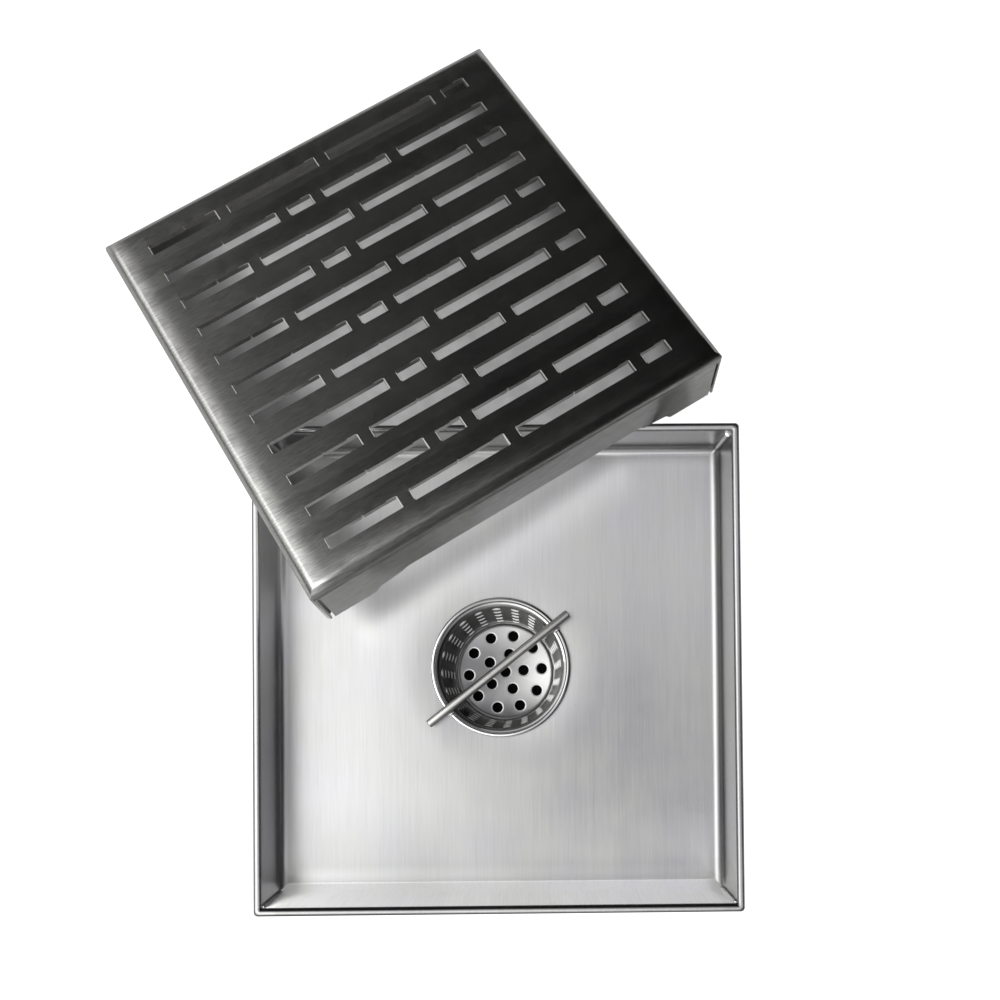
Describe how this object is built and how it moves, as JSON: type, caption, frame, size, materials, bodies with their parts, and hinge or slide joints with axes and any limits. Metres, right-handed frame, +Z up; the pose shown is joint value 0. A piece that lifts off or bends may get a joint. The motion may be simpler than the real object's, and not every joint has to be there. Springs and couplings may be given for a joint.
{
  "type": "square floor drain with lift-out grate",
  "caption": "Square folded stainless floor drain: hemmed tray with a round outlet, a slotted strainer basket with a lifting rod, and a slotted grate lifted off and leaning on the rim.",
  "frame": {"origin": "on the underside of the tray floor, on the drain's centre line, 50 mm in front of the outlet's axis: the point of mount mortar_bed. The outlet's axis is the vertical through (0, 0.050)", "axes": "+Z up out of the drain, +X to the right and -Y to the front, square to the tray's walls. The front wall faces -Y"},
  "size_m": [0.2011, 0.284, 0.0622],
  "materials": {
    "tray_steel": "fine brushed stainless, grain running front to back on the tray floor",
    "weld_steel": "dressed weld metal",
    "polished_steel": "polished wire",
    "basket_steel": "spun and punched sheet",
    "rod_steel": "drawn rod",
    "grate_steel": "brushed along the slots, dark reflections"
  },
  "bodies": {
    "tray": {"tray_pan": "tray_steel", "corner_weld_front_left": "weld_steel", "corner_weld_front_right": "weld_steel", "corner_weld_rear_left": "weld_steel", "corner_weld_rear_right": "weld_steel", "outlet_stub": "tray_steel", "outlet_weld": "weld_steel"},
    "strainer": {"strainer_wall": "basket_steel", "strainer_base": "basket_steel", "strainer_rim": "polished_steel", "strainer_rod": "rod_steel", "rod_weld_front": "weld_steel", "rod_weld_rear": "weld_steel"},
    "grate": {"grate_plate": "grate_steel"}
  },
  "joints": [
    {"name": "grate_lift", "type": "slide", "parent": "tray", "child": "grate", "axis": [0, 0, 1], "range_m": [0, 0.1]},
    {"name": "strainer_lift", "type": "slide", "parent": "tray", "child": "strainer", "axis": [0, 0, 1], "range_m": [0, 0.08]}
  ]
}
